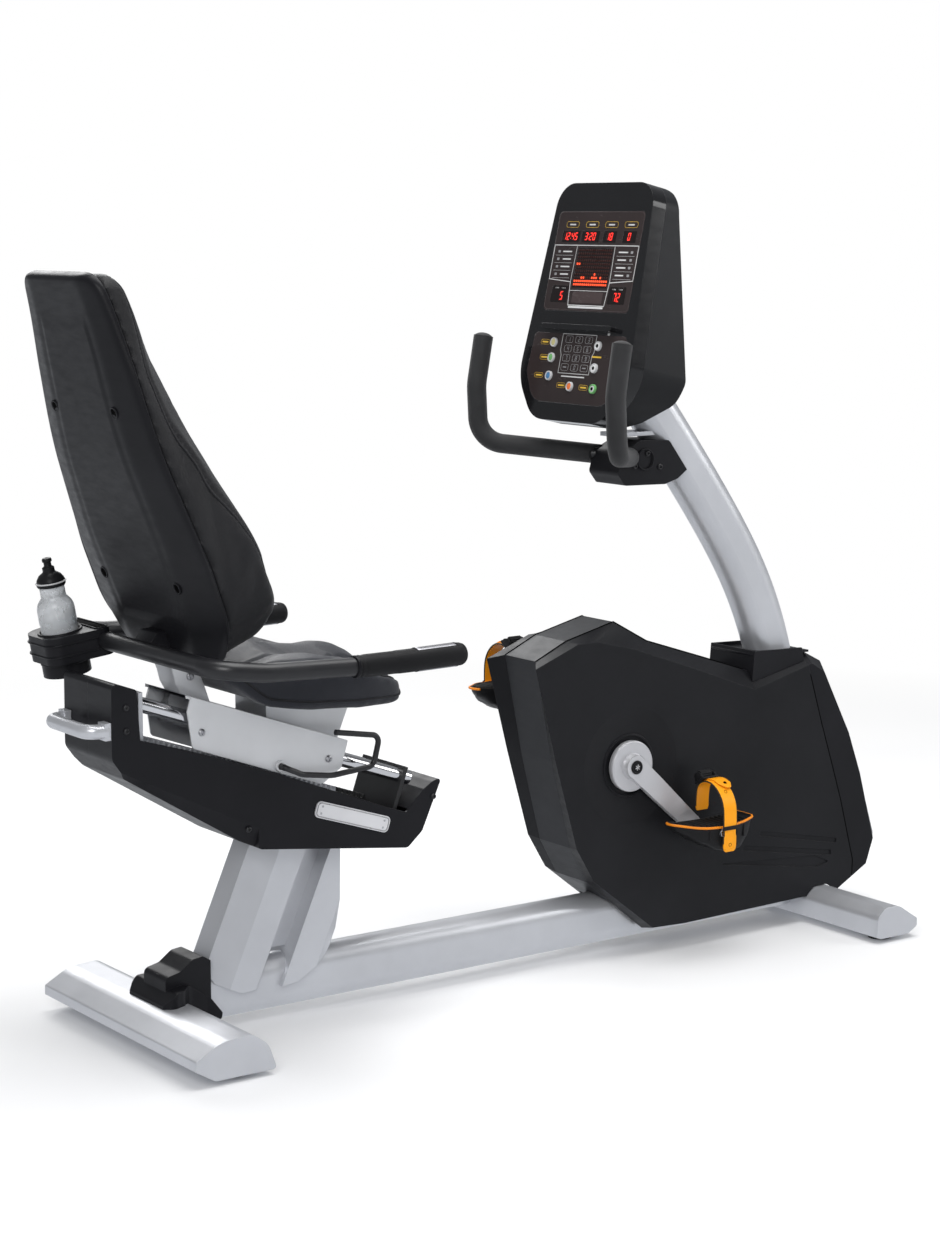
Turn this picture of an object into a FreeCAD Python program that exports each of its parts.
import FreeCAD, Part
import Sketcher
import math, os

# Recumbent exercise bike. +X is the way the rider faces, +Y the rider's left,
# +Z up, floor at z = 0. Lengths in millimetres. Side-view tables are written
# in their own x; adding x_shift centres the outline over the origin.
# An outline's rows are (u, v) or (u, v, corner radius).
V = FreeCAD.Vector
doc = FreeCAD.newDocument("recumbent_bike")

# ------------------------------------------------------------------ driving dimensions
TABLE = [
    ("x_shift", 170), ("beam_wide", 60), ("beam_tall", 88), ("beam_mid", 64), ("beam_wall", 3),
    ("foot_rear_half", 236), ("foot_front_half", 245), ("cap_thick", 5),
    ("pad_rad", 20), ("pad_tall", 9), ("wheel_rad", 16), ("wheel_wide", 22), ("pin_rad", 4),
    ("fit_gap", 0.05), ("post_half", 38), ("post_wall", 4),
    ("rail_tilt", 19.5), ("rail_mid", 463), ("rail_rad", 11), ("rail_half", 45),
    ("bush_rad", 17), ("house_half", 75), ("house_wall", 4), ("rack_pitch", 9.5),
    ("handle_rad", 11), ("crank_x", 60), ("crank_z", 336), ("crank_len", 170),
    ("crank_fall", 42), ("axle_rad", 10), ("shell_rad", 24), ("seat_rad", 20), ("hub_rad", 43),
    ("arm_in", 72), ("arm_out", 84), ("spindle_rad", 7.5), ("pedal_in", 97), ("pedal_out", 165),
    ("fly_x", 250), ("fly_z", 230), ("fly_rad", 110), ("fly_wide", 36), ("fly_pulley", 25),
    ("crank_pulley", 85), ("shroud_half", 68), ("band_half", 42), ("shroud_wall", 4),
    ("dish_rad", 100), ("tube_rad", 14), ("grip_rad", 17), ("bar_rad", 12.5),
    ("foam_rad", 16.5), ("lever_rad", 4.5), ("face_tilt", 12.68), ("bezel_deep", 28),
    ("overlay_thick", 1.2), ("key_rad", 8), ("bottle_rad", 29), ("cup_rad", 30.5),
    ("tray_tilt", 10), ("back_tilt", 19.85), ("seat_half", 205), ("badge_thick", 2.5),
]
dims = doc.addObject("Spreadsheet::Sheet", "dims")
for row, (name, value) in enumerate(TABLE, 1):
    dims.set("A%d" % row, name)
    dims.set("B%d" % row, str(value))
    dims.setAlias("B%d" % row, name)
doc.recompute()
DIM = {name: float(dims.get(name)) for name, _ in TABLE}
X_SHIFT = DIM["x_shift"]
SIDES = (("right", -1), ("left", 1))    # rider's side and the sign of its y
PIECES = []


def piece(obj, label):
    """Labels an object and lists it for export."""
    obj.Label = label
    PIECES.append(obj)
    return obj


# ------------------------------------------------------------------ outlines
def moved(points, du, dv=0):
    """The outline moved by (du, dv)."""
    return [(p[0] + du, p[1] + dv) + tuple(p[2:]) for p in points]


def both_sides(half, middle=()):
    """Rows of one side, the middle rows, then the side again with y negated, in reverse."""
    return half + list(middle) + [(p[0], -p[1]) + tuple(p[2:]) for p in reversed(half)]


def span(side, inner, outer):
    """Lower and upper y of a part between two distances out from the middle."""
    return sorted((side * inner, side * outer))


def inset(points, depth):
    """Moves each side of a closed outline inward by depth (outline runs either way)."""
    count = len(points)
    area = sum(points[i][0] * points[(i + 1) % count][1]
               - points[(i + 1) % count][0] * points[i][1] for i in range(count))
    turn = 1 if area > 0 else -1
    moved_in = []
    for i in range(count):
        before, here, after = points[i - 1], points[i], points[(i + 1) % count]
        edge_in = (here[0] - before[0], here[1] - before[1])
        edge_out = (after[0] - here[0], after[1] - here[1])
        length_in, length_out = math.hypot(*edge_in), math.hypot(*edge_out)
        normal_in = (-edge_in[1] / length_in * turn, edge_in[0] / length_in * turn)
        normal_out = (-edge_out[1] / length_out * turn, edge_out[0] / length_out * turn)
        scale = 1 + normal_in[0] * normal_out[0] + normal_in[1] * normal_out[1]
        moved_in.append((here[0] + (normal_in[0] + normal_out[0]) * depth / scale,
                         here[1] + (normal_in[1] + normal_out[1]) * depth / scale)
                        + tuple(here[2:]))
    return moved_in


def corner_arc(before, corner, after, radius):
    """Start, middle and end of the corner's arc; None where the path hardly turns.

    The radius shrinks where the arc would take over 0.48 of either side.
    """
    back, ahead = before - corner, after - corner
    back_length, ahead_length = back.Length, ahead.Length
    back.normalize()
    ahead.normalize()
    angle = back.getAngle(ahead)
    if angle > math.pi - 0.01:
        return None
    reach = min(radius / math.tan(angle / 2), 0.48 * back_length, 0.48 * ahead_length)
    radius = reach * math.tan(angle / 2)
    bisector = back + ahead
    bisector.normalize()
    middle = corner + bisector * (radius / math.sin(angle / 2) - radius)
    return corner + back * reach, middle, corner + ahead * reach


def corner_path(points):
    """Line and arc edges round a closed outline."""
    count = len(points)
    corners = [V(p[0], p[1], 0) for p in points]
    stops = []
    for i, point in enumerate(points):
        arc = None
        if len(point) > 2 and point[2]:
            arc = corner_arc(corners[i - 1], corners[i], corners[(i + 1) % count], point[2])
        stops.append(arc or (corners[i], None, corners[i]))
    edges = []
    for i, (start, middle, end) in enumerate(stops):
        if middle is not None:
            edges.append(Part.Arc(start, middle, end))
        following = stops[(i + 1) % count][0]
        if (following - end).Length > 1e-6:
            edges.append(Part.LineSegment(end, following))
    return edges


# ------------------------------------------------------------------ sketched bodies
def sketch(body, plane, loops, offset):
    """plane xz, yz or xy; loops are outlines or ('c', u, v, radius or alias)."""
    role = plane.upper() + "_Plane"
    origin_plane = [o for o in body.Origin.OriginFeatures if o.Role == role][0]
    outline = body.newObject("Sketcher::SketchObject", body.Name + "_outline")
    outline.AttachmentSupport = (origin_plane, [""])
    outline.MapMode = "FlatFace"
    outline.AttachmentOffset = FreeCAD.Placement(V(0, 0, offset), FreeCAD.Rotation())
    for loop in loops:
        if loop[0] == "c":
            _, u, v, size = loop
            radius = DIM[size] if isinstance(size, str) else size
            circle = outline.addGeometry(Part.Circle(V(u, v, 0), V(0, 0, 1), radius))
            rule = outline.addConstraint(Sketcher.Constraint("Radius", circle, radius))
            if isinstance(size, str):
                outline.setExpression("Constraints[%d]" % rule, "dims." + size)
            continue
        edges = [outline.addGeometry(edge) for edge in corner_path(loop)]
        for this, following in zip(edges, edges[1:] + edges[:1]):
            _, end, start = min(
                ((outline.getPoint(this, i) - outline.getPoint(following, j)).Length, i, j)
                for i in (1, 2) for j in (1, 2))
            outline.addConstraint(
                Sketcher.Constraint("Coincident", this, end, following, start))
    return outline


def new_body(name, placement=None):
    body = doc.addObject("PartDesign::Body", name)
    body.AllowCompound = True
    if placement is not None:
        body.Placement = placement
    return body


def extend(body, kind, outline, length, expression=None):
    """Adds a Pad or Pocket of the outline, its length bound to the expression if given."""
    feature = body.newObject("PartDesign::" + kind, "%s_%s" % (body.Name, kind.lower()))
    feature.Profile = outline
    feature.Length = length
    if expression:
        feature.setExpression("Length", expression)


def pad(body, plane, loops, low, high, length=None):
    # the xz plane's normal is -Y, so its sketch stands at the high end
    outline = sketch(body, plane, loops, -high if plane == "xz" else low)
    extend(body, "Pad", outline, high - low, length)


def pocket(body, plane, loops, low, high, length=None):
    doc.recompute()
    before = body.Shape.Volume
    outline = sketch(body, plane, loops, -low if plane == "xz" else high)
    extend(body, "Pocket", outline, high - low, length)
    doc.recompute()
    if not body.Shape.Volume < before - 1e-3:
        raise RuntimeError("pocket cuts nothing: " + body.Name)


def prism(name, plane, loops, low, high, length=None, placement=None):
    body = new_body(name, placement)
    pad(body, plane, loops, low, high, length)
    return body


def slab(name, points, y_low, y_high, length=None):
    """Side-view outline padded from y_low to y_high."""
    return prism(name, "xz", [moved(points, X_SHIFT)], y_low, y_high, length)


# ------------------------------------------------------------------ Part objects
def rod(name, start, end, radius):
    """Cylinder between two points; radius is an expression or a number."""
    start, end = V(*start), V(*end)
    start.x += X_SHIFT
    end.x += X_SHIFT
    cylinder = doc.addObject("Part::Cylinder", name)
    cylinder.Height = (end - start).Length
    if isinstance(radius, str):
        cylinder.setExpression("Radius", radius)
    else:
        cylinder.Radius = radius
    cylinder.Placement = FreeCAD.Placement(start, FreeCAD.Rotation(V(0, 0, 1), end - start))
    return cylinder


def cross_rod(name, centre, y_start, y_end, radius):
    """Cylinder along Y about the side-view point centre."""
    x, z = centre
    return rod(name, (x, y_start, z), (x, y_end, z), radius)


def block(name, low, high):
    box = doc.addObject("Part::Box", name)
    box.Length, box.Width, box.Height = [high[i] - low[i] for i in range(3)]
    corner = V(low[0] + X_SHIFT, low[1], low[2])
    box.Placement = FreeCAD.Placement(corner, FreeCAD.Rotation())
    return box


def fuse(name, objects):
    union = doc.addObject("Part::MultiFuse", name)
    union.Shapes = list(objects)
    return union


def minus(name, base, tools):
    cut = doc.addObject("Part::Cut", name)
    cut.Base = base
    cut.Tool = tools[0] if len(tools) == 1 else fuse(name + "_tools", tools)
    return cut


def common(name, objects):
    shared = doc.addObject("Part::MultiCommon", name)
    shared.Shapes = list(objects)
    return shared


def group(name, objects):
    compound = doc.addObject("Part::Compound", name)
    compound.Links = list(objects)
    return compound


def mirror(name, source):
    """The source reflected to the other side of the bike."""
    reflected = doc.addObject("Part::Mirroring", name)
    reflected.Source = source
    reflected.Normal = V(0, 1, 0)
    reflected.Base = V(0, 0, 0)
    return reflected


def ruled_loft(name, ring_a, ring_b):
    """Solid between two closed rings of (x, y, z) points."""
    sections = []
    for tag, ring in (("_a", ring_a), ("_b", ring_b)):
        polygon = doc.addObject("Part::Polygon", name + tag)
        polygon.Nodes = [V(x + X_SHIFT, y, z) for x, y, z in ring]
        polygon.Close = True
        sections.append(polygon)
    loft = doc.addObject("Part::Loft", name)
    loft.Sections = sections
    loft.Solid = True
    loft.Ruled = True
    return loft


def pipe(name, path, radius):
    """Round bar along (x, y, z, bend radius) points; radius is an expression."""
    points = [V(p[0] + X_SHIFT, p[1], p[2]) for p in path]
    edges = []
    current = points[0]
    for i in range(1, len(points)):
        arc = None
        if len(path[i]) > 3 and path[i][3] and i < len(points) - 1:
            arc = corner_arc(points[i - 1], points[i], points[i + 1], path[i][3])
        start, middle, end = arc or (points[i], None, points[i])
        if middle is None or (start - current).Length > 1e-6:
            edges.append(Part.LineSegment(current, start).toShape())
        if middle is not None:
            edges.append(Part.Arc(start, middle, end).toShape())
        current = end
    line = doc.addObject("Part::Feature", name + "_line")
    line.Shape = Part.Wire(edges)
    ring = doc.addObject("Part::Circle", name + "_ring")
    ring.setExpression("Radius", radius)
    ring.Placement = FreeCAD.Placement(
        points[0], FreeCAD.Rotation(V(0, 0, 1), points[1] - points[0]))
    sweep = doc.addObject("Part::Sweep", name)
    sweep.Sections = [ring]
    sweep.Spine = (line, ["Edge%d" % (i + 1) for i in range(len(edges))])
    sweep.Solid = True
    sweep.Frenet = False
    return sweep


def oval_section(grow):
    """Corners of the oval tube's section, centred, grown by grow all round."""
    wide = DIM["beam_wide"] + 2 * grow
    tall = DIM["beam_tall"] + 2 * grow
    radius = wide / 2
    return [(-wide / 2, -tall / 2, radius), (wide / 2, -tall / 2, radius),
            (wide / 2, tall / 2, radius), (-wide / 2, tall / 2, radius)]


def beam_length(name, grow, x_rear, x_front):
    """A length of the floor beam's oval section, grown by grow."""
    section = moved(oval_section(grow), 0, DIM["beam_mid"])
    return prism(name, "yz", [section], x_rear + X_SHIFT, x_front + X_SHIFT)


# ------------------------------------------------------------------ floor beam and feet
# foot bar sections (x, z, corner radius)
REAR_FOOT = [(-882, 28), (-882, 43, 3), (-840, 66, 60), (-788, 69, 22), (-760, 50, 40),
             (-747, 12, 4), (-752, 9), (-850, 9, 12)]
FRONT_FOOT = [(466, 13), (467, 48, 14), (486, 63, 14), (516, 63, 30), (561, 34, 4),
              (561, 20, 6), (540, 9), (474, 9, 5)]
FOOT_WALL = 4.5
REAR_HALF = DIM["foot_rear_half"]
FRONT_HALF = DIM["foot_front_half"]

rear_foot_solid = slab("foot_rear_solid", REAR_FOOT, -REAR_HALF, REAR_HALF)
front_foot_solid = slab("foot_front_solid", FRONT_FOOT, -FRONT_HALF, FRONT_HALF)
beam_solid = beam_length("beam_solid", 0, -905, 500)

piece(minus("main_beam", beam_length("beam_outer", 0, -812, 496),
            [beam_length("beam_inner", -DIM["beam_wall"], -830, 510),
             rear_foot_solid, front_foot_solid]), "main_beam")

rear_bar = slab("rear_foot_bar", REAR_FOOT, -REAR_HALF, REAR_HALF, "2 * dims.foot_rear_half")
pocket(rear_bar, "xz", [moved(inset(REAR_FOOT, FOOT_WALL), X_SHIFT)], -240, 240)
piece(rear_bar, "rear_foot")

front_bar = slab("front_foot_bar", FRONT_FOOT, -FRONT_HALF, FRONT_HALF,
                 "2 * dims.foot_front_half")
pocket(front_bar, "xz", [moved(inset(FRONT_FOOT, FOOT_WALL), X_SHIFT)], -125, 125)

# transport wheels in wells cut through the front foot
WHEEL = (545, 20)           # x, z of the wheel pins
WHEEL_Y = 165
WELL_RAD, WELL_HALF = 18.5, 13
PIN_HALF, PIN_BORE_HALF = 19, 20
wells = []
for tag, side in reversed(SIDES):
    y = side * WHEEL_Y
    wells += [
        cross_rod("wheel_well_" + tag, WHEEL, y - WELL_HALF, y + WELL_HALF, WELL_RAD),
        block("wheel_gap_" + tag, (WHEEL[0] - WELL_RAD, y - WELL_HALF, -2),
              (WHEEL[0] + WELL_RAD, y + WELL_HALF, WHEEL[1])),
        cross_rod("wheel_bore_" + tag, WHEEL, y - PIN_BORE_HALF, y + PIN_BORE_HALF,
                  "dims.pin_rad + dims.fit_gap")]
piece(minus("front_foot_cut", front_bar, wells), "front_foot")

wheel_half = DIM["wheel_wide"] / 2
for tag, side in SIDES:
    y = side * WHEEL_Y
    tyre = cross_rod("tyre_" + tag, WHEEL, y - wheel_half, y + wheel_half, "dims.wheel_rad")
    pin = cross_rod("pin_" + tag, WHEEL, y - PIN_HALF, y + PIN_HALF, "dims.pin_rad")
    piece(fuse("wheel_" + tag, [tyre, pin]), "transport_wheel_" + tag)

caps = []
for tag, side in SIDES:
    for end, outline, half in (("rear", REAR_FOOT, REAR_HALF), ("front", FRONT_FOOT, FRONT_HALF)):
        caps.append(slab("cap_%s_%s" % (end, tag), outline,
                         *span(side, half, half + DIM["cap_thick"]), "dims.cap_thick"))
piece(group("foot_end_caps", caps), "foot_end_caps")

FOOT_PADS = [(-800, 200), (-800, -200), (508, 212), (508, -212)]    # x, y
pads = []
for number, (x, y) in enumerate(FOOT_PADS):
    foot_pad = rod("foot_pad%d" % number, (x, y, 0), (x, y, DIM["pad_tall"]), "dims.pad_rad")
    foot_pad.setExpression("Height", "dims.pad_tall")
    pads.append(foot_pad)
piece(group("rubber_feet", pads), "rubber_feet")

# ------------------------------------------------------------------ rail frame of reference
RAIL_ANGLE = math.radians(DIM["rail_tilt"])
RAIL_COS, RAIL_SIN = math.cos(RAIL_ANGLE), math.sin(RAIL_ANGLE)
RAIL_X = -650               # x where the rail's height is rail_mid
RAIL_Y = DIM["rail_half"]


def rail_point(along, above):
    """Side-view point so far along the rail (down and forward) and above it."""
    return (RAIL_X + along * RAIL_COS + above * RAIL_SIN,
            DIM["rail_mid"] - along * RAIL_SIN + above * RAIL_COS)


def rail_outline(rows):
    """Outline given as (along, above) the rail."""
    return [rail_point(row[0], row[1]) + tuple(row[2:]) for row in rows]


def rail_rod(name, side, start, end, radius):
    """Cylinder on a rail's axis between two stations along it."""
    (x0, z0), (x1, z1) = rail_point(start, 0), rail_point(end, 0)
    return rod(name, (x0, side * RAIL_Y, z0), (x1, side * RAIL_Y, z1), radius)


# ------------------------------------------------------------------ seat posts
POST_LEAN = 0.44            # forward run per unit of rise
POST_LEVEL = 121            # height at which the sections below are drawn
POST_ABOVE = 418            # top of the outer solids, before the carrier trims them
BORE_ABOVE = 430


def leaning_post(name, section, z_low, z_high):
    """Horizontal (x, y) section at POST_LEVEL, swept along the posts' lean."""
    base = new_body(name + "_sec")
    shift = X_SHIFT + (z_low - POST_LEVEL) * POST_LEAN
    outline = sketch(base, "xy", [moved(section, shift)], z_low)
    post = doc.addObject("Part::Extrusion", name)
    post.Base = outline
    post.DirMode = "Custom"
    post.Dir = V(POST_LEAN, 0, 1)
    post.LengthFwd = (z_high - z_low) * math.hypot(POST_LEAN, 1)
    post.Solid = True
    return post


def post_clearance(name, section, x_split):
    """The post's section let out by 1.5 in x and y, to open the housing round it."""
    gap = 1.5
    grown = [(x + (gap if x > x_split else -gap), y + (gap if y > 0 else -gap))
             for x, y in section]
    return leaning_post(name, grown, 200, BORE_ABOVE)


OUT_Y = DIM["post_half"]
IN_Y = OUT_Y - DIM["post_wall"]
# sections (x, y)
REAR_POST = [(-735, -24), (-735, 24), (-684, OUT_Y), (-634, OUT_Y), (-634, -OUT_Y),
             (-684, -OUT_Y)]
REAR_POST_IN = [(-731, -21), (-731, 21), (-683, IN_Y), (-638, IN_Y), (-638, -IN_Y),
                (-683, -IN_Y)]
FRONT_POST = [(-586, -OUT_Y), (-586, OUT_Y), (-532, OUT_Y), (-512, 26), (-512, -26),
              (-532, -OUT_Y)]
FRONT_POST_IN = [(-582, -IN_Y), (-582, IN_Y), (-533, IN_Y), (-516, 23), (-516, -23),
                 (-533, -IN_Y)]
WEB = [(-634, -9), (-634, 9), (-586, 9), (-586, -9)]
WEB_GAP = [(-636, -11), (-636, 11), (-584, 11), (-584, -11)]
# side views that trim the foot of each post
REAR_TRIM = [(-790, 112), (-684, 62, 8), (-657, 64, 8), (-626, 128), (-540, 330), (-530, 400),
             (-780, 400)]
FRONT_TRIM = [(-640, 60), (-600, 62), (-583, 63, 8), (-526, 97, 30), (-505, 124), (-500, 400),
              (-640, 400)]

rear_trim = slab("post_rear_keep", REAR_TRIM, -60, 60)
front_trim = slab("post_front_keep", FRONT_TRIM, -60, 60)
above_posts = slab("carrier_under",
                   rail_outline([(-330, -68), (400, -68), (400, 220), (-330, 220)]), -80, 80)
rear_post_solid = common("post_rear_out", [
    leaning_post("post_rear_env", REAR_POST, 50, POST_ABOVE), rear_trim])
front_post_solid = common("post_front_out", [
    leaning_post("post_front_env", FRONT_POST, 50, POST_ABOVE), front_trim])
rear_post = minus("post_rear", rear_post_solid, [
    beam_solid, leaning_post("post_rear_in", REAR_POST_IN, 128, BORE_ABOVE), above_posts])
front_post = minus("post_front", front_post_solid, [
    beam_solid, leaning_post("post_front_in", FRONT_POST_IN, 128, BORE_ABOVE), above_posts])
post_web = minus("post_web", leaning_post("post_web_env", WEB, 118, BORE_ABOVE),
                 [above_posts, beam_solid])
piece(group("seat_posts", [rear_post, front_post, post_web]), "seat_posts")
post_openings = [post_clearance("post_rear_gap", REAR_POST, -700),
                 post_clearance("post_front_gap", FRONT_POST, -550),
                 leaning_post("post_web_gap", WEB_GAP, 200, BORE_ABOVE)]

# ------------------------------------------------------------------ rear foot cover
# moulded cover where the beam meets the rear foot: a middle hump and two side lobes
COVER_MIDDLE = [(-816, 60), (-816, 108, 10), (-790, 114, 12), (-768, 130, 12), (-750, 132, 6),
                (-737, 124), (-737, 60)]
COVER_LOBES = [(-833, 50), (-831, 72, 5), (-812, 90, 8), (-782, 94, 12), (-742, 66, 10),
               (-725, 42, 3), (-727, 33, 3), (-760, 30)]
COVER_PLAN = both_sides([(-836, -48, 16), (-818, -66, 14), (-798, -60, 16), (-778, -40, 14),
                         (-748, -42, 10), (-722, -50, 5)])      # x, y
cover_middle = slab("cover_mid", COVER_MIDDLE, -34, 34)
cover_lobes = common("cover_lobes", [
    slab("cover_wings", COVER_LOBES, -68, 68),
    prism("cover_plan", "xy", [moved(COVER_PLAN, X_SHIFT)], 20, 140)])
piece(minus("foot_cover", fuse("cover_all", [cover_middle, cover_lobes]),
            [beam_length("beam_end", 0, -812, 500), rear_foot_solid, rear_post_solid]),
      "rear_foot_cover")

# ------------------------------------------------------------------ seat rails and carrier
piece(group("guide_rails", [rail_rod("rail_" + tag, side, -226, 288, "dims.rail_rad")
                            for tag, side in SIDES]), "guide_rails")
rails_solid = fuse("rails_solid", [
    rail_rod("rail_env_" + tag, side, -260, 300, "dims.rail_rad") for tag, side in SIDES])

# carrier: base plate on the posts, an upright at each end that holds the rails, and the
# toothed rack; rows are (along, above) the rail
RACK_START, RACK_END = -180.0, 240
RACK_FOOT, RACK_ROOT = -62, -52
rack_rows = [(RACK_START, RACK_FOOT), (RACK_START, RACK_ROOT)]
tooth = RACK_START
count = 0
while tooth < RACK_END:
    rack_rows += [(tooth + 1, -51), (tooth + 2, -44.5), (tooth + 5.5, -44.5), (tooth + 6.5, -51)]
    count += 1
    tooth = RACK_START + count * DIM["rack_pitch"]
rack_rows += [(tooth, RACK_ROOT), (tooth, RACK_FOOT)]
rack = slab("rack", rail_outline(rack_rows), -9, 9)
carrier_base = slab("carrier_base", rail_outline(
    [(-226, -68), (-226, -62), (273, -62), (273, -68)]), -60, 60)
rear_upright = slab("carrier_rear", [(-866, 470), (-866, 557), (-859, 557), (-859, 468)], -58, 58)
front_upright = slab("carrier_front", rail_outline(
    [(266, -64), (266, 16), (273, 16), (273, -64)]), -60, 60)
rear_end_trim = slab("carrier_trim", [(-950, 700), (-950, 200), (-911, 200), (-911, 700)],
                     -90, 90)
piece(minus("carrier_cut",
            fuse("carrier_all", [rack, carrier_base, rear_upright, front_upright]),
            [rails_solid, rear_post, front_post, post_web, rear_end_trim]), "rail_carrier")

# ------------------------------------------------------------------ rail housing, two halves
HOUSING = [(-919, 579, 8), (-878, 565, 5), (-873, 489), (-792, 464), (-644, 413), (-436, 331),
           (-401, 319, 4), (-368, 352, 4), (-352, 362, 14), (-333, 368, 5), (-371, 285, 10),
           (-399, 261, 12), (-668, 296, 6), (-700, 311, 8), (-897, 432, 14), (-920, 464, 16)]
HOUSING_ROOM = [(-869, 620), (-869, 486), (-900, 486), (-914, 472, 8), (-895, 438, 8),
                (-698, 317), (-667, 301), (-400, 265.5, 8), (-376, 287, 8), (-386, 312),
                (-400, 326), (-372.5, 354), (-372.5, 620)]
HOUSING_REAR_ROOM = [(-914.5, 490), (-914.5, 573, 3), (-883, 561.5, 3), (-878, 490)]


def facet(name, rear_x, rear_yz, front_x, front_yz):
    """Wedge between two (y, z) triangles standing across the bike."""
    return ruled_loft(name, [(rear_x, y, z) for y, z in rear_yz],
                      [(front_x, y, z) for y, z in front_yz])


# the flank turns in below a fold line that runs along the ramp
facet_outer = facet("ramp_facet", -935, [(-75.01, 459), (-61, 452), (-95, 430)],
                    -673, [(-75.01, 329), (-57, 288), (-110, 280)])
facet_inner = facet("ramp_facet_in", -935, [(-71.01, 461), (-57, 454), (-95, 432)],
                    -668, [(-71.01, 329), (-52, 288), (-110, 280)])
HOUSE_Y = -DIM["house_half"]
ROOM_Y = HOUSE_Y + DIM["house_wall"]
ROOM_LENGTH = "dims.house_half - dims.house_wall"
house_outer = slab("housing_outer", HOUSING, HOUSE_Y, 0, "dims.house_half")
house_inner = slab("housing_inner", HOUSING_ROOM, ROOM_Y, 0, ROOM_LENGTH)
house_rear = slab("housing_block", HOUSING_REAR_ROOM, ROOM_Y, 0, ROOM_LENGTH)
house_half = minus("housing_half", minus("housing_skin", house_outer, [facet_outer]),
                   [minus("housing_room", house_inner, [facet_inner]), house_rear])
house_right = piece(minus("housing_right_cut", house_half, post_openings), "housing_right")
piece(mirror("housing_left_half", house_right), "housing_left")

# badge on the right flank: a rectangle fitted to four measured corners (x, z)
BADGE_CORNERS = [(-561, 359), (-427, 315), (-445, 288), (-580, 338)]
BADGE_HALF_LONG, BADGE_HALF_TALL, BADGE_CORNER_RAD = 71, 13, 8
badge_x = sum(x for x, z in BADGE_CORNERS) / 4.0
badge_z = sum(z for x, z in BADGE_CORNERS) / 4.0
badge_angle = math.atan2(BADGE_CORNERS[1][1] - BADGE_CORNERS[0][1],
                         BADGE_CORNERS[1][0] - BADGE_CORNERS[0][0])
badge_outline = []
for u_sign, v_sign in ((-1, -1), (1, -1), (1, 1), (-1, 1)):
    u, v = u_sign * BADGE_HALF_LONG, v_sign * BADGE_HALF_TALL
    badge_outline.append((badge_x + u * math.cos(badge_angle) - v * math.sin(badge_angle),
                          badge_z + u * math.sin(badge_angle) + v * math.cos(badge_angle),
                          BADGE_CORNER_RAD))
piece(slab("badge", badge_outline, HOUSE_Y - DIM["badge_thick"], HOUSE_Y, "dims.badge_thick"),
      "badge_plate")

# rear loop handle with a tab at each end
HANDLE_PATH = both_sides([(-921, -66, 507), (-951, -58, 507, 18)])
HANDLE_TAB = [(-930, 494), (-930, 520), (-920, 520), (-920, 494)]
handle_parts = [pipe("handle_loop", HANDLE_PATH, "dims.handle_rad")]
handle_parts += [slab("handle_tab_" + tag, HANDLE_TAB, *span(side, 52, 74))
                 for tag, side in SIDES]
house_rear_solid = slab("house_solid", [(-920, 440), (-920, 600), (-860, 600), (-860, 440)],
                        -90, 90)
piece(minus("handle_cut", fuse("handle_all", handle_parts), [house_rear_solid]),
      "transport_handle")

# ------------------------------------------------------------------ mast
# oval tube that curves from the console down to the floor beam; centre line (x, z)
MAST = [(98, 992), (146, 932), (242, 809), (298, 733), (373, 614), (422, 494), (446, 380),
        (450, 260), (440, 150), (438, 96)]


def mast_solid(name, grow):
    """Oval section, grown by grow, swept along the mast's centre line."""
    curve = Part.BSplineCurve()
    points = [V(x + X_SHIFT, 0, z) for x, z in MAST]
    curve.interpolate(points)
    spine = Part.Wire([curve.toShape()])
    along = V(curve.tangent(curve.FirstParameter)[0])
    along.normalize()
    across = V(0, 1, 0)
    up = along.cross(across)
    start = points[0]
    frame = FreeCAD.Matrix(across.x, up.x, along.x, start.x,
                           across.y, up.y, along.y, start.y,
                           across.z, up.z, along.z, start.z,
                           0, 0, 0, 1)
    section = Part.Wire([edge.toShape() for edge in corner_path(oval_section(grow))])
    shell = Part.BRepOffsetAPI.MakePipeShell(spine)
    shell.setFrenetMode(False)
    shell.setBiNormalMode(V(0, 1, 0))
    shell.add(section.transformed(frame))
    shell.build()
    shell.makeSolid()
    feature = doc.addObject("Part::Feature", name)
    feature.Shape = shell.shape()
    return feature


mast_outer = mast_solid("mast_outer", 0)
mast_inner = mast_solid("mast_inner", -DIM["beam_wall"])
mast_gap = mast_solid("mast_gap", 1.2)
console_tab = slab("console_tab", [(62, 886), (62, 893), (175, 893), (190, 886)], -24, 24)
mast_and_tab = fuse("mast_all", [mast_outer, minus("tab_cut", console_tab, [mast_inner])])
piece(minus("mast_cut", mast_and_tab, [mast_inner, beam_solid]), "mast")

# ------------------------------------------------------------------ shroud
# outlines (x, z): SHROUD_SIDE on the flat flank, SHROUD_BAND on the wider middle band;
# the rows pair up, and a ruled loft joins the two
SHROUD_SIDE = [(-141, 520), (-54, 553), (-10, 553), (65, 534), (210, 484), (337, 437),
               (470, 470), (500, 452), (562, 336), (592, 258), (628, 133), (612, 88),
               (540, 50), (183, 44), (112, 47), (-17, 147), (-54, 208), (-98, 358)]
SHROUD_BAND = [(-122, 528), (-60, 556), (40, 580), (112, 541), (240, 500), (345, 466),
               (472, 488), (512, 468), (578, 340), (612, 260), (652, 138), (636, 80),
               (548, 46), (190, 38), (108, 42), (-12, 140), (-48, 204), (-88, 358)]
FRONT_ZONE = [(459, 476), (496, 359), (524, 279), (546, 214), (578, 101), (572, 20), (720, 20),
              (720, 560), (440, 560)]
BOTTOM_ZONE = [(-200, 0), (-200, 130), (-30, 130), (60, 90), (560, 66), (700, 66), (700, 0)]
COLLAR_ZONE = [(337, 430), (337, 560), (520, 560), (520, 430)]
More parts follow.
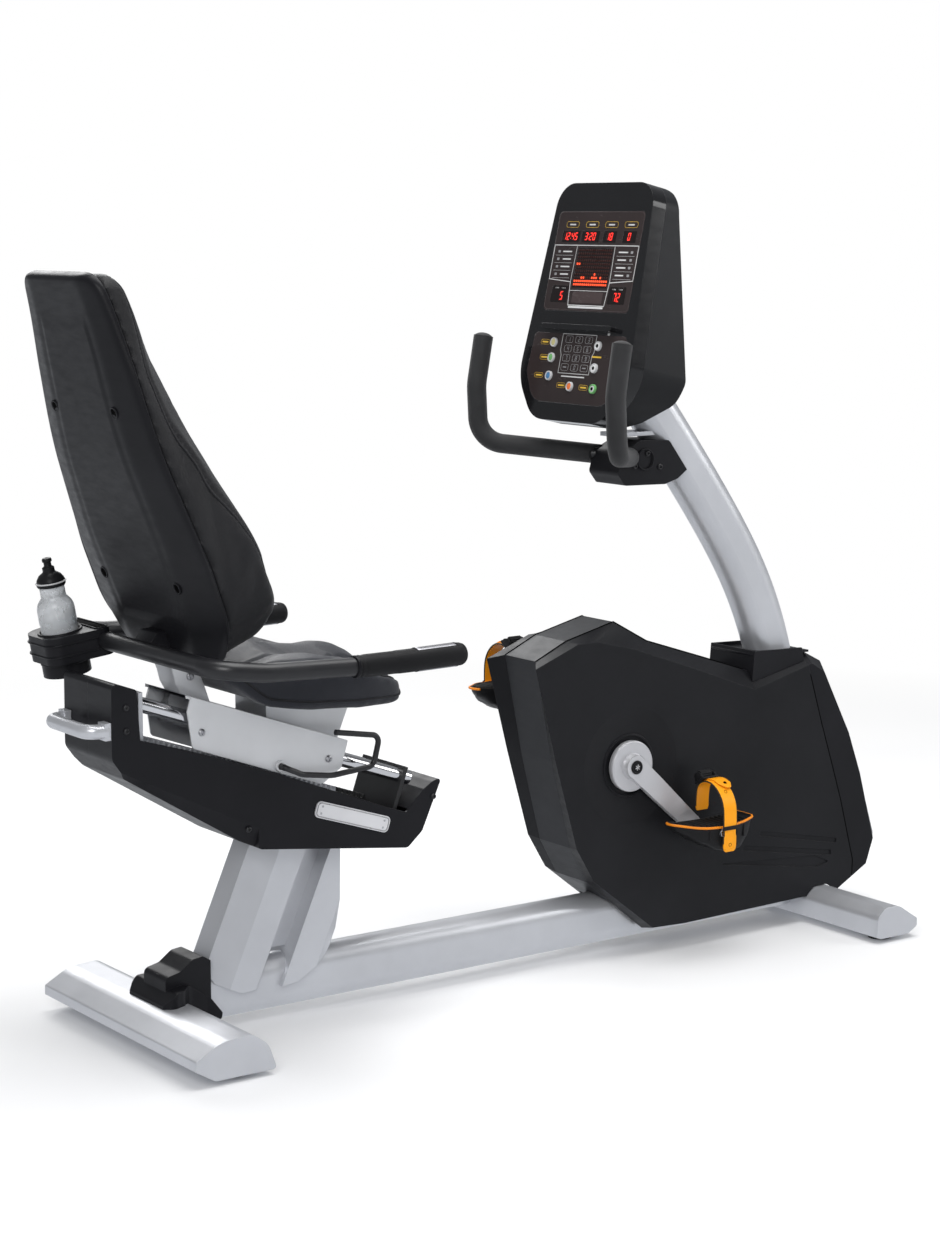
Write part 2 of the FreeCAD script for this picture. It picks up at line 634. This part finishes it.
LOUVRES = [[(352, 175, 2), (354, 184, 2), (537, 146, 3), (537, 137, 3)],
           [(313, 154, 2), (315, 163, 2), (524, 126, 3), (525, 116, 3)],
           [(246, 139, 1), (486, 121, 8), (521, 105, 2), (490, 99, 8)]]
WALL = DIM["shroud_wall"]
BAND_Y = DIM["band_half"]
FLANK_Y = -DIM["shroud_half"]
CRANK = (DIM["crank_x"], DIM["crank_z"])


def flank_loft(name, side_rows, side_y, band_rows):
    return ruled_loft(name, [(x, side_y, z) for x, z in side_rows],
                      [(x, -BAND_Y, z) for x, z in band_rows])


side_rows_in, band_rows_in = inset(SHROUD_SIDE, WALL), inset(SHROUD_BAND, WALL)
side_outer = flank_loft("side_out", SHROUD_SIDE, FLANK_Y, SHROUD_BAND)
side_inner = flank_loft("side_in", side_rows_in, FLANK_Y + WALL, band_rows_in)
band_outer = slab("band_out", SHROUD_BAND, -BAND_Y, BAND_Y, "2 * dims.band_half")
band_inner = slab("band_in", band_rows_in, -BAND_Y - 1, BAND_Y + 1)
front_zone = slab("front_zone", FRONT_ZONE, -90, 90)
beam_gap = beam_length("beam_gap", 1.5, -200, 520)
foot_gap = slab("foot_gap", inset(FRONT_FOOT, -1.5), -90, 90)

# round dish sunk into the flank about the crank, with its backing
dish_back = cross_rod("dish_back", CRANK, FLANK_Y, FLANK_Y + 11, "dims.dish_rad + 4")
dish_cone = doc.addObject("Part::Cone", "dish_cone")
dish_cone.setExpression("Radius1", "dims.dish_rad")
dish_cone.Radius2 = 54
dish_cone.Height = 6.5
dish_cone.Placement = FreeCAD.Placement(V(CRANK[0] + X_SHIFT, FLANK_Y, CRANK[1]),
                                        FreeCAD.Rotation(V(1, 0, 0), -90))
dish_well = cross_rod("dish_well", CRANK, FLANK_Y - 2, FLANK_Y + 8.5, 50)
dish_hollow = fuse("dish_hollow", [dish_cone, dish_well])
louvres = [slab("louvre%d" % number, outline, FLANK_Y - 1, FLANK_Y + 2.2)
           for number, outline in enumerate(LOUVRES)]
hub_hole = cross_rod("hub_hole", CRANK, FLANK_Y - 2, FLANK_Y + 14, 30)
side_wall = fuse("side_wall", [minus("side_hollow", side_outer, [side_inner]), dish_back])
shroud_right = piece(minus("side_shell", side_wall, [
    dish_hollow, hub_hole, beam_gap, foot_gap, front_zone, mast_gap] + louvres), "shroud_right")
shroud_left = piece(mirror("left_shell", shroud_right), "shroud_left")

bottom_zone = slab("bottom_zone", BOTTOM_ZONE, -90, 90)
collar_zone = slab("collar_zone", COLLAR_ZONE, -90, 90)
piece(minus("band_cut", minus("band_hollow", band_outer, [band_inner]), [
    beam_gap, foot_gap, front_zone, mast_gap, bottom_zone, collar_zone]), "shroud_top_cover")

side_outer_left = mirror("side_out_left", side_outer)
shroud_solid = fuse("shroud_full_out", [side_outer, band_outer, side_outer_left])
shroud_room = fuse("shroud_full_in", [side_inner,
                                      slab("band_in2", band_rows_in, -BAND_Y, BAND_Y),
                                      mirror("side_in_left", side_inner)])
nose_shell = minus("nose_shell", shroud_solid, [shroud_room, mast_gap, foot_gap, beam_gap])
piece(common("nose", [nose_shell, front_zone]), "shroud_front_cover")

COLLAR = [(337, 437), (343, 503), (480, 498), (494, 470), (470, 440), (400, 380)]
COLLAR_ROOM = [(341, 420), (347, 520), (474, 520), (488, 466), (466, 440), (400, 370)]
collar_ring = minus("collar_ring", slab("collar_out", COLLAR, -58, 58),
                    [slab("collar_in", COLLAR_ROOM, -54, 54)])
shroud_walls = minus("shroud_walls",
                     fuse("shroud_sides", [side_outer, side_outer_left, band_outer]),
                     [collar_zone])
piece(minus("collar_cut", collar_ring,
            [mast_gap, shroud_walls, shroud_right, shroud_left, front_zone]), "mast_collar")

# ------------------------------------------------------------------ drive frame and crank
FLY = (DIM["fly_x"], DIM["fly_z"])
CRANK_X, CRANK_Z = CRANK
CRANK_LEG = [(64, 84), (104, 84), (84, CRANK_Z, 20), (36, CRANK_Z, 20)]
FLY_LEG = [(210, 84), (290, 84), (268, 246, 12), (232, 246, 12)]
frame_parts = [cross_rod("bracket_shell", CRANK, -34, 34, "dims.shell_rad")]
shell_bore = cross_rod("bracket_bore", CRANK, -40, 40, "dims.seat_rad")
for tag, side in SIDES:
    frame_parts.append(slab("leg_crank_" + tag, CRANK_LEG, *span(side, 26, 31)))
    frame_parts.append(slab("leg_fly_" + tag, FLY_LEG, *span(side, 26, 31)))
fly_bore = cross_rod("fly_bore", FLY, -40, 40, 8.05)
frame_parts.append(slab("leg_base", [(66, 100), (292, 100), (292, 113), (66, 113)], -31, 31))
piece(minus("drive_frame_cut", fuse("drive_frame_all", frame_parts),
            [shell_bore, beam_solid, fly_bore]), "drive_frame")

bearings = []
for tag, side in SIDES:
    low, high = span(side, 20, 33)
    ring = cross_rod("bearing_out_" + tag, CRANK, low, high, "dims.seat_rad")
    bore = cross_rod("bearing_in_" + tag, CRANK, low - 2, high + 2,
                     "dims.axle_rad + dims.fit_gap")
    bearings.append(minus("bearing_" + tag, ring, [bore]))
piece(group("crank_bearings", bearings), "crank_bearings")
piece(cross_rod("axle", CRANK, -82, 82, "dims.axle_rad"), "crank_axle")

# the right crank points forward and down by crank_fall, the left one opposite
fall = math.radians(DIM["crank_fall"])
REACH_X = DIM["crank_len"] * math.cos(fall)
REACH_Z = -DIM["crank_len"] * math.sin(fall)
EYE_REACH = {-1: (REACH_X, REACH_Z), 1: (-REACH_X, -REACH_Z)}
EYE = {side: (CRANK_X + dx, CRANK_Z + dz) for side, (dx, dz) in EYE_REACH.items()}
# half of the arm's outline: (distance along the arm, half width)
ARM_BAR = [(-4, -19), (60, -18), (168, -15), (168, 15), (60, 18), (-4, 19)]


def crank_arm(tag, side):
    """One crank arm with its round cover disc."""
    along_x, along_z = [reach / DIM["crank_len"] for reach in EYE_REACH[side]]
    outline = [(CRANK_X + along_x * along - along_z * across,
                CRANK_Z + along_z * along + along_x * across) for along, across in ARM_BAR]
    arm_span = span(side, DIM["arm_in"], DIM["arm_out"])
    # the left hub stands 2 mm proud of its arm
    hub_top = arm_span[1] + (2 if side > 0 else 0)
    parts = [slab("arm_bar_" + tag, outline, *arm_span),
             cross_rod("arm_hub_" + tag, CRANK, arm_span[0], hub_top, 20),
             cross_rod("arm_eye_" + tag, EYE[side], *arm_span, 15.5),
             cross_rod("arm_disc_" + tag, CRANK, *span(side, 63, 73), "dims.hub_rad")]
    bores = [cross_rod("arm_bore_" + tag, CRANK, -95, 95, "dims.axle_rad"),
             cross_rod("arm_eye_bore_" + tag, EYE[side], -95, 95, "dims.spindle_rad")]
    return minus("arm_" + tag, fuse("arm_all_" + tag, parts), bores)


for tag, side in SIDES:
    piece(crank_arm(tag, side), "crank_arm_" + tag)
piece(group("pedal_spindles", [
    cross_rod("spindle_" + tag, EYE[side], *span(side, 74, 161), "dims.spindle_rad")
    for tag, side in SIDES]), "pedal_spindles")

# ------------------------------------------------------------------ pulley, flywheel, belt
pulley = prism("crank_pulley", "xz", [("c", CRANK_X + X_SHIFT, CRANK_Z, "crank_pulley"),
                                      ("c", CRANK_X + X_SHIFT, CRANK_Z, "axle_rad")], 40, 50)
HOLES, HOLE_CIRCLE, HOLE_RAD, HOLE_START = 5, 50, 17, 20
for number in range(HOLES):
    angle = math.radians(360 / HOLES * number + HOLE_START)
    pocket(pulley, "xz", [("c", CRANK_X + X_SHIFT + HOLE_CIRCLE * math.cos(angle),
                           CRANK_Z + HOLE_CIRCLE * math.sin(angle), HOLE_RAD)], 39, 51)
piece(pulley, "crank_pulley")

FLY_HALF = DIM["fly_wide"] / 2
FLY_HUB_RAD = 15
fly_blank = fuse("flywheel_all", [
    cross_rod("fly_disc", FLY, -FLY_HALF, FLY_HALF, "dims.fly_rad"),
    cross_rod("fly_hub", FLY, -24, 24, FLY_HUB_RAD),
    cross_rod("fly_axle", FLY, -36, 53, 8),
    cross_rod("fly_pul", FLY, 40, 50, "dims.fly_pulley")])
fly_reliefs = [cross_rod("fly_relief_" + tag, FLY, side * 12, side * 20, 84)
               for tag, side in SIDES]
fly_bosses = [cross_rod("fly_boss_" + tag, FLY, side * 11, side * 24, FLY_HUB_RAD)
              for tag, side in SIDES]
piece(fuse("flywheel_dished", [minus("fly_cut", fly_blank, fly_reliefs)] + fly_bosses),
      "flywheel")


def belt_loop(clearance):
    """Two tangent lines and two arcs, clearance outside both pulleys."""
    crank_rad = DIM["crank_pulley"] + clearance
    fly_rad = DIM["fly_pulley"] + clearance
    dx, dz = FLY[0] - CRANK_X, FLY[1] - CRANK_Z
    line_angle = math.atan2(dz, dx)
    wrap = math.acos((crank_rad - fly_rad) / math.hypot(dx, dz))

    def at(centre, radius, angle):
        return V(centre[0] + X_SHIFT + radius * math.cos(angle),
                 centre[1] + radius * math.sin(angle), 0)

    crank_top = at(CRANK, crank_rad, line_angle + wrap)
    fly_top = at(FLY, fly_rad, line_angle + wrap)
    fly_low = at(FLY, fly_rad, line_angle - wrap)
    crank_low = at(CRANK, crank_rad, line_angle - wrap)
    return [Part.LineSegment(crank_top, fly_top),
            Part.Arc(fly_top, at(FLY, fly_rad, line_angle), fly_low),
            Part.LineSegment(fly_low, crank_low),
            Part.Arc(crank_low, at(CRANK, -crank_rad, line_angle), crank_top)]


belt = new_body("drive_belt")
belt_sketch = sketch(belt, "xz", [], -49)
for clearance in (3.2, 0.1):
    for edge in belt_loop(clearance):
        belt_sketch.addGeometry(edge)
extend(belt, "Pad", belt_sketch, 8)
piece(belt, "drive_belt")

brake = slab("brake", [(322, 204), (322, 256), (392, 256), (392, 204)], -29, 29)
pocket(brake, "xz", [("c", FLY[0] + X_SHIFT, FLY[1], DIM["fly_rad"] + 3)], -20.5, 20.5)
piece(brake, "magnetic_brake")

# ------------------------------------------------------------------ pedals
# measured from the crank arm's eye: side view (x, z), plan (x, distance out from the middle)
PEDAL_SIDE = [(-75, 6, 4), (-75, 18, 3), (77, 20, 3), (74, 2, 12), (46, -36, 16), (4, -36, 20),
              (-44, -14, 40)]
PEDAL_IN, PEDAL_OUT = DIM["pedal_in"], DIM["pedal_out"]
PEDAL_PLAN = [(-75, PEDAL_IN, 10), (-75, 118, 18), (-34, 158, 45), (16, PEDAL_OUT, 60),
              (77, 152, 14), (77, PEDAL_IN, 10)]
# the strap's section (y on the right side, z above the eye): outer face, then inner face
STRAP = [(-168.5, -30), (-169, 20), (-166, 48, 20), (-148, 74, 22), (-120, 80, 22),
         (-97, 66, 12), (-94, 20),
         (-97, 20), (-99.5, 62, 10), (-120, 76.5, 20), (-146, 71, 20), (-162.5, 46, 18),
         (-166, 20), (-165.6, -30)]


def pedal(tag, side):
    """Side view met with the plan, hollowed from above and bored for the spindle."""
    eye_x, eye_z = EYE[side]
    plan = [(x + eye_x + X_SHIFT, side * out, radius) for x, out, radius in PEDAL_PLAN]
    solid = common("pedal_block_" + tag, [
        slab("pedal_side_" + tag, moved(PEDAL_SIDE, eye_x, eye_z),
             *span(side, PEDAL_IN, PEDAL_OUT)),
        prism("pedal_plan_" + tag, "xy", [plan], eye_z - 60, eye_z + 40)])
    hollow = prism("pedal_dish_" + tag, "xy", [inset(plan, 5)], eye_z + 10, eye_z + 40)
    bore = cross_rod("pedal_bore_" + tag, EYE[side], -170, 170,
                     "dims.spindle_rad + dims.fit_gap")
    return minus("pedal_cut_" + tag, solid, [hollow, bore])


def strap(tag, side):
    """Foot strap arching over the pedal, 30 mm wide."""
    eye_x, eye_z = EYE[side]
    section = [(-side * row[0], row[1] + eye_z) + tuple(row[2:]) for row in STRAP]
    return prism("strap_" + tag, "yz", [section], eye_x - 7 + X_SHIFT, eye_x + 23 + X_SHIFT)


for tag, side in SIDES:
    pedal_body = piece(pedal(tag, side), "pedal_" + tag)
    piece(minus("strap_cut_" + tag, strap(tag, side), [pedal_body]), "pedal_strap_" + tag)

# ------------------------------------------------------------------ console
# local frame on the face: x forward into the case, y left, z up along the face
CONSOLE_Z = 1202
CONSOLE = FreeCAD.Placement(V(32 + X_SHIFT, 0, CONSOLE_Z),
                            FreeCAD.Rotation(V(0, 1, 0), DIM["face_tilt"]))
CASE = [(-124, 105, 42), (124, 105, 42), (148, -225, 80), (92, -294, 60), (-92, -294, 60),
        (-148, -225, 80)]
CASE_ROOM = inset(CASE, 3.5)
DISPLAY = [(-113, -110, 8), (113, -110, 8), (113, 57, 8), (-113, 57, 8)]
KEYPAD = [(-122, -148, 8), (-128, -215, 30), (-98, -264, 40), (98, -264, 40), (128, -215, 30),
          (122, -148, 8)]
LEDGE = [(-92, -143, 3), (92, -143, 3), (92, -134, 3), (-92, -134, 3)]
BOARD = [(-108, -255, 10), (-108, 70, 4), (108, 70, 4), (108, -255, 10)]
# name, y, height above the floor
BUTTONS = [("button_program", 65, 1042), ("button_level", 65, 1017), ("button_mode", 63, 987),
           ("button_up", -54, 1040), ("button_down", -54, 1004), ("button_start", 2, 972),
           ("button_stop", -60, 971)]
# the heights are laid off along the tilted face
BUTTONS = [(name, y, (height - CONSOLE_Z) / math.cos(math.radians(DIM["face_tilt"])))
           for name, y, height in BUTTONS]
KEY_HOLES = [("c", y, z, 8.3) for _, y, z in BUTTONS]
BEZEL, OVERLAY = DIM["bezel_deep"], DIM["overlay_thick"]

bezel = prism("bezel", "yz", [CASE], 0, BEZEL, "dims.bezel_deep", CONSOLE)
pocket(bezel, "yz", [CASE_ROOM], 4.5, BEZEL)
pocket(bezel, "yz", [DISPLAY], 0, OVERLAY, "dims.overlay_thick")
pocket(bezel, "yz", [KEYPAD], 0, OVERLAY, "dims.overlay_thick")
pocket(bezel, "yz", KEY_HOLES, -1, 6)
pad(bezel, "yz", [LEDGE], -13, 0.5)
piece(bezel, "console_bezel")
piece(prism("overlays", "yz", [DISPLAY, KEYPAD] + KEY_HOLES, 0, OVERLAY,
            "dims.overlay_thick", CONSOLE), "display_overlays")
for name, y, z in BUTTONS:
    button = prism(name, "yz", [("c", y, z, "key_rad")], -3.5, 6, placement=CONSOLE)
    pad(button, "yz", [("c", y, z, 10)], 6, 8)
    piece(button, name)
piece(prism("board", "yz", [BOARD], 11, 12.6, placement=CONSOLE), "circuit_board")

# front half of the case; side views are (x, z) in the local frame
CASE_SIDE = [(28, -294), (28, 105), (50, 105, 18), (58, 60), (119, -200, 30), (112, -238, 30),
             (76, -276, 20), (48, -294, 12)]
CASE_SIDE_ROOM = [(27, -290), (27, 101), (47, 101, 14), (54, 60), (115, -200, 26),
                  (108, -236, 26), (74, -272, 18), (46, -290, 8)]
BUMP = [(-95, -90, 12), (95, -90, 12), (95, 70, 12), (-95, 70, 12)]
BUMP_SIDE = [(50, -90), (50, 70), (66, 74, 6), (108, -84, 8), (98, -92)]
case_solid = common("con_body", [
    prism("con_plan", "yz", [CASE], 28, 140, placement=CONSOLE),
    prism("con_side", "xz", [CASE_SIDE], -160, 160, placement=CONSOLE)])
case_room = common("con_inner", [
    prism("con_plan_in", "yz", [CASE_ROOM], 27, 140, placement=CONSOLE),
    prism("con_side_in", "xz", [CASE_SIDE_ROOM], -160, 160, placement=CONSOLE)])
bump = common("bump_all", [
    prism("con_bump", "yz", [BUMP], 50, 112, placement=CONSOLE),
    prism("con_bump_side", "xz", [BUMP_SIDE], -96, 96, placement=CONSOLE)])
piece(minus("con_rear", fuse("con_outer", [case_solid, bump]), [case_room, mast_gap]),
      "console_housing")

# ------------------------------------------------------------------ front handlebar
# from the left tip round the mast to the right tip, foam over most of its length
BAR_PATH = both_sides([(-62, 187, 1050), (-76, 188, 968, 90), (-71, 188, 872, 46)],
                      [(112, 0, 848, 60)])
BAR_BRACKET = [(50, 826, 8), (66, 806, 6), (152, 804, 8), (180, 812, 6), (200, 826),
               (160, 878, 10), (100, 880, 14), (60, 862, 12)]
front_tube = pipe("bar_tube", BAR_PATH, "dims.bar_rad")
foam = pipe("bar_foam", BAR_PATH, "dims.foam_rad")
bare_middle = block("bar_mid", (40, -40, 780), (200, 40, 900))
piece(minus("bar_cut", front_tube, [mast_outer]), "handlebar")
piece(minus("foam_cut", foam, [front_tube, bare_middle, mast_outer]), "handlebar_grips")
piece(minus("bracket_cut", slab("bracket_body", BAR_BRACKET, -39, 39),
            [front_tube, foam, mast_outer, console_tab]), "handlebar_bracket")


# ------------------------------------------------------------------ seat carriage
def top_line(x):
    """Height of the carriage's top face, which runs parallel to the rails."""
    return 445 + (-504 - x) * math.tan(RAIL_ANGLE)


PIVOT_X, PIVOT_Z = PIVOT = (-628, 419)      # release lever's cross shaft
SIDE_PLATE = [(-781, top_line(-781)), (-788, 521, 4), (-780, 464, 9), (-634, 410, 4),
              (-552, 381, 10), (-516, 404, 10), (-504, 445, 3)]
TOP_PLATE = [(-850, top_line(-850)), (-508, top_line(-508)), (-510, top_line(-510) - 5),
             (-852, top_line(-852) - 5)]
LUG = [(PIVOT_X - 14, PIVOT_Z - 10, 6), (PIVOT_X + 14, PIVOT_Z - 10, 6),
       (PIVOT_X + 14, top_line(PIVOT_X + 14) - 3), (PIVOT_X - 14, top_line(PIVOT_X - 14) - 3)]
# pedestal between carriage and cushion
PEDESTAL = [(-640, top_line(-640) - 2), (-512, top_line(-512) - 2), (-484, 512.5), (-640, 523)]
PEDESTAL_ROOM = [(-633, 470), (-505, 430), (-490, 508), (-634, 517)]
BUSH_STARTS = (-126, 88)                    # stations along the rail
BUSH_LONG = 46

side_plates = [slab("plate_r", SIDE_PLATE, -65, -62), slab("plate_l", SIDE_PLATE, 62, 65)]
top_plate = slab("carriage_top", TOP_PLATE, -62, 62)
bushes = []
for start in BUSH_STARTS:
    end = start + BUSH_LONG
    for tag, side in SIDES:
        y = side * RAIL_Y
        bushes.append(rail_rod("bush_" + tag, side, start, end, "dims.bush_rad"))
        bushes.append(slab("bush_web_" + tag, rail_outline(
            [(start, 8), (end, 8), (end, 30), (start, 30)]), y - 8, y + 8))
slide_bores = [rail_rod("slide_bore_" + tag, side, -300, 300, "dims.rail_rad + dims.fit_gap")
               for tag, side in SIDES]
pivot_bore = cross_rod("pivot_bore", PIVOT, -90, 90, 5.05)
lugs = [slab("lug_" + tag, LUG, *span(side, 14, 19)) for tag, side in SIDES]
pedestal = slab("pedestal", PEDESTAL, -46, 46)
pocket(pedestal, "xz", [moved(PEDESTAL_ROOM, X_SHIFT)], -42, 42)
piece(minus("carriage_cut",
            fuse("carriage_all", side_plates + [top_plate, pedestal] + bushes + lugs),
            slide_bores + [pivot_bore]), "seat_carriage")

# release lever: cross shaft, side loop and pawl in one weldment
LEVER_PATH = [(PIVOT_X, -70, PIVOT_Z), (PIVOT_X, -82, PIVOT_Z, 7),
              (PIVOT_X + 30, -82, PIVOT_Z - 14, 40), (-545, -82, 397, 60),
              (-468, -82, 403, 14), (-456, -82, 450, 12), (-538, -82, 464)]
PAWL = [(60.8, -36), (56.8, -43.6), (54.6, -43.6), (34, -42.0), (29, -37), (30, -27),
        (62.8, -24)]                        # along, above the rail
piece(fuse("lever_all", [pipe("lever_rod", LEVER_PATH, "dims.lever_rad"),
                         cross_rod("lever_shaft", PIVOT, -79, 24, 5),
                         slab("pawl", rail_outline(PAWL), -7, 7),
                         cross_rod("pawl_hub", PIVOT, -10, 10, 9)]), "release_lever")

# ------------------------------------------------------------------ seat cushion
CUSHION_SIDE = [(-446, 530, 14), (-450, 564, 20), (-500, 588, 60), (-590, 590, 80),
                (-680, 598, 60), (-736, 606, 12), (-750, 596, 10), (-744, 568, 10),
                (-706, 529, 14), (-640, 523.6), (-474, 513, 12)]
CUSHION_PLAN = both_sides([(-446, -80, 60), (-464, -184, 70), (-560, -208, 80),
                           (-680, -204, 70), (-750, -130, 80)])
cushion = piece(common("cushion", [
    slab("cushion_side", CUSHION_SIDE, -DIM["seat_half"], DIM["seat_half"],
         "2 * dims.seat_half"),
    prism("cushion_plan", "xy", [moved(CUSHION_PLAN, X_SHIFT)], 480, 640)]), "seat_cushion")

# ------------------------------------------------------------------ backrest
# local frame on its rear face: x forward through the back, z up along it
BACK = FreeCAD.Placement(V(-830 + X_SHIFT, 0, 714),
                         FreeCAD.Rotation(V(0, 1, 0), -DIM["back_tilt"]))
BACK_OUTLINE = [(-112, 470, 44), (112, 470, 44), (146, 330, 200), (199, 30, 150),
                (196, -62, 70), (142, -127, 60), (-142, -127, 60), (-196, -62, 70),
                (-199, 30, 150), (-146, 330, 200)]                      # y, z
BACK_CROSS = [(0, -95, 40), (26, -206), (26, 206), (0, 95, 40)]         # x, y
BACK_HOLES = [(-92, 271), (92, 271), (-112, 0), (112, 0)]               # y, z
PAD_SIDE = [(24, -125), (100, -121, 34), (136, -84, 40), (138, 10, 90), (122, 160, 140),
            (104, 310, 140), (96, 430, 40), (84, 467, 16), (24, 467)]   # x, z
SHELL_DEEP = 24
back_shell = common("back_shell", [
    prism("back_plan", "yz", [BACK_OUTLINE], 0, SHELL_DEEP, placement=BACK),
    prism("back_cross", "xy", [BACK_CROSS], -140, 490, placement=BACK)])
back_holes = prism("back_holes", "yz", [("c", y, z, 6) for y, z in BACK_HOLES], -2, 12,
                   placement=BACK)
piece(minus("back_shell_cut", back_shell, [back_holes]), "backrest_shell")
piece(common("back_pad", [
    prism("pad_plan", "yz", [inset(BACK_OUTLINE, 3)], SHELL_DEEP, 150, placement=BACK),
    prism("pad_side", "xz", [PAD_SIDE], -220, 220, placement=BACK)]), "backrest_pad")
back_solid = prism("back_env", "yz", [BACK_OUTLINE], 0, 160, placement=BACK)

# ------------------------------------------------------------------ seat handlebar
# loop behind the seat, open to the front, with grips and sensor plates on its two ends
SEAT_BAR = both_sides([(-424, -257, 600), (-520, -255, 598, 60), (-610, -250, 597, 200),
                       (-760, -246, 602, 200), (-836, -236, 612, 70)])


def side_block(name, side, x_span, inner, outer, z_span):
    """Block between two distances out from the middle, on one side."""
    low, high = span(side, inner, outer)
    return block(name, (x_span[0], low, z_span[0]), (x_span[1], high, z_span[1]))


seat_bar = piece(pipe("seat_bar", SEAT_BAR, "dims.tube_rad"), "seat_handlebar")
grip_bar = pipe("seat_bar_grip", SEAT_BAR, "dims.grip_rad")
grip_parts = []
for tag, side in SIDES:
    zone = side_block("grip_zone_" + tag, side, (-610, -400), 230, 280, (560, 640))
    grip_parts.append(common("grips_cut_" + tag, [grip_bar, zone]))
for tag, side in SIDES:
    grip_parts.append(rod("grip_tip_" + tag, (-424, side * 257, 600),
                          (-420, side * 257.1, 600.1), "dims.grip_rad"))
piece(minus("grips_hollow", fuse("grips_all", grip_parts), [seat_bar]), "seat_grips")

plate_bar = pipe("seat_bar_plate", SEAT_BAR, "dims.grip_rad + 1.2")
plate_parts = []
for tag, side in SIDES:
    zone = side_block("plate_zone_" + tag, side, (-506, -436), 244, 268, (608, 640))
    plate_parts.append(common("plates_" + tag, [plate_bar, zone]))
piece(minus("plates_cut", fuse("plates_all", plate_parts), [grip_bar]), "pulse_sensors")

BACK_BRACKET = [(-783, top_line(-783)), (-724, top_line(-724)), (-732, 545, 8), (-757, 596, 8),
                (-757, 640), (-818, 640), (-832, 618), (-832, 606), (-806, 592, 14),
                (-790, 556, 12)]
piece(minus("bracket_back_cut", slab("back_bracket_body", BACK_BRACKET, -26, 26),
            [back_solid, cushion, seat_bar]), "backrest_bracket")

# ------------------------------------------------------------------ bottle and tray
# tray on the loop's rear left, tilted back; z is 0 at its rim
TRAY = FreeCAD.Placement(V(-885 + X_SHIFT, 152, 624),
                         FreeCAD.Rotation(V(0, 1, 0), -DIM["tray_tilt"]))
TRAY_PLAN = [(-40, -40, 26), (58, -62, 12), (58, 50, 12), (30, 58, 20), (-40, 50, 30)]
CUP_FLOOR = -61
tray = prism("tray", "xy", [TRAY_PLAN], -42, 0, placement=TRAY)
pad(tray, "xy", [("c", 0, 0, 37)], -66, -42)
pocket(tray, "xy", [("c", 0, 0, "cup_rad")], CUP_FLOOR, 1)
piece(minus("tray_cut", tray, [seat_bar, back_solid]), "bottle_tray")

# radius, lower z, upper z, from the body up to the spout
BOTTLE = [("bottle_rad", CUP_FLOOR, 56), (19, 56, 78), (21, 78, 96), (7, 96, 116)]
bottle = new_body("bottle", TRAY)
for radius, low, high in BOTTLE:
    pad(bottle, "xy", [("c", 0, 0, radius)], low, high)
piece(bottle, "bottle")

# ------------------------------------------------------------------ checks and export
doc.recompute()
faults = ["%s (%s): %s" % (obj.Name, obj.Label, obj.State) for obj in doc.Objects
          if "Invalid" in obj.State or "Error" in obj.State]
faults += ["bad shape: " + obj.Label for obj in PIECES
           if obj.Shape.isNull() or not obj.Shape.isValid() or not obj.Shape.Solids]
if faults:
    raise SystemExit("model has failed objects\n" + "\n".join(faults))
assert len({obj.Label for obj in PIECES}) == len(PIECES), "two pieces share a label"
os.makedirs("parts", exist_ok=True)
for obj in PIECES:
    obj.Shape.exportStep("parts/%s.step" % obj.Label)
